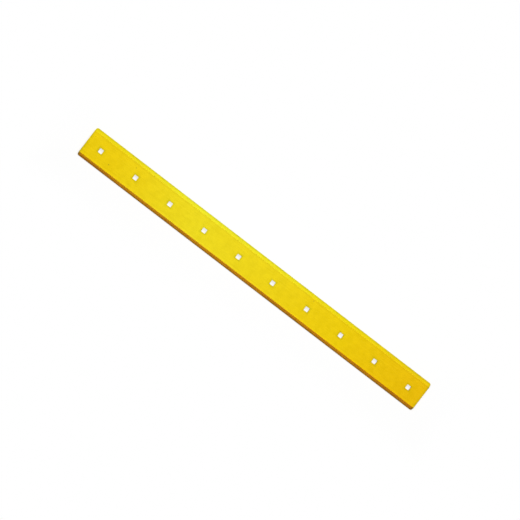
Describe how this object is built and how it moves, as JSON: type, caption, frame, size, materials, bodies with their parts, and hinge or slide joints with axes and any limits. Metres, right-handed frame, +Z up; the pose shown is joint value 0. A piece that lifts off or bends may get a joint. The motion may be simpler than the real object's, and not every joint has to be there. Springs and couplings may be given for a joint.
{
  "type": "loader cutting edge",
  "caption": "Flat bolt-on cutting edge for a loader bucket, bevelled along both long edges, with a row of square countersunk bolt holes.",
  "frame": {"origin": "middle of the underside, below the middle of the bolt row", "axes": "+X along the length, +Y across the width, +Z up out of the bevelled seat face"},
  "size_m": [1.88, 0.15, 0.02],
  "materials": {
    "yellow_paint": "semi-gloss yellow paint over rolled steel"
  },
  "bodies": {
    "root": {"cutting_edge": "yellow_paint"}
  },
  "joints": []
}
